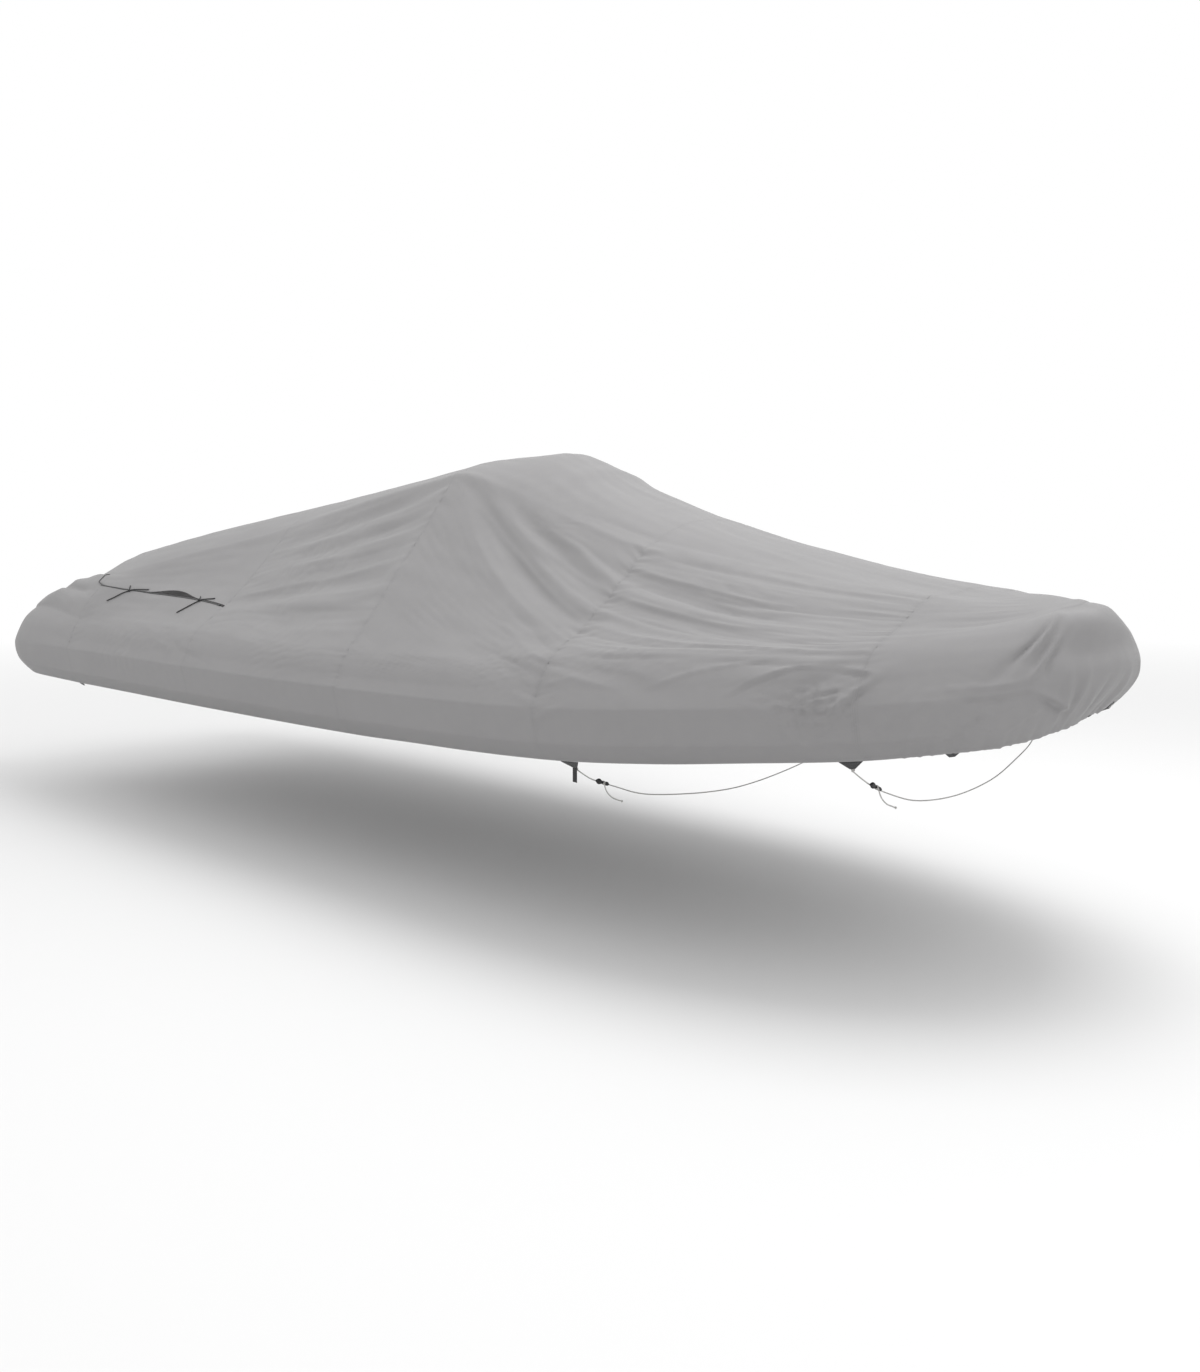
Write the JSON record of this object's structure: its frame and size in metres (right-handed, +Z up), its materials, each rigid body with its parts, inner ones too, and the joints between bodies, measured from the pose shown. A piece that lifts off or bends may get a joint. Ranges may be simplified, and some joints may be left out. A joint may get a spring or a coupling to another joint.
{
  "type": "boat cover",
  "caption": "Fitted cloth cover for a rigid inflatable boat, peaked over the console, with arch slits, hem tabs and draw cords under the hull.",
  "frame": {"origin": "where the windscreen's top carries the cloth, on the centre line under the cover's highest part", "axes": "+X forward to the bow, +Y to port, +Z up"},
  "size_m": [7.2747, 2.4192, 1.5721],
  "materials": {
    "cloth": "matt coated polyester",
    "webbing": "black woven webbing",
    "lace": "black lacing cord",
    "cord": "white braided cord",
    "plastic": "black moulded nylon"
  },
  "bodies": {
    "root": {"cord_fore": "cord", "cord_mid": "cord", "panel_arch_port": "cloth", "panel_arch_starboard": "cloth", "panel_arch_top": "cloth", "panel_bow": "cloth", "panel_console": "cloth", "panel_fore": "cloth", "panel_seat": "cloth", "panel_stern": "cloth", "slit_binding_port": "webbing", "slit_binding_starboard": "webbing", "stern_flap": "cloth", "strap_mid_port": "webbing", "strap_mid_starboard": "webbing", "tab_bow_port": "webbing", "tab_bow_starboard": "webbing", "tab_fore_port": "webbing", "tab_fore_starboard": "webbing", "tab_mid_port": "webbing", "tab_mid_starboard": "webbing", "tab_stern_port": "webbing", "tab_stern_starboard": "webbing", "tail_fore": "cord", "tail_mid": "cord", "tie_aft_port": "lace", "tie_aft_starboard": "lace", "tie_fore_port": "lace", "tie_fore_starboard": "lace", "tightener_fore": "plastic", "tightener_mid": "plastic"}
  },
  "joints": []
}
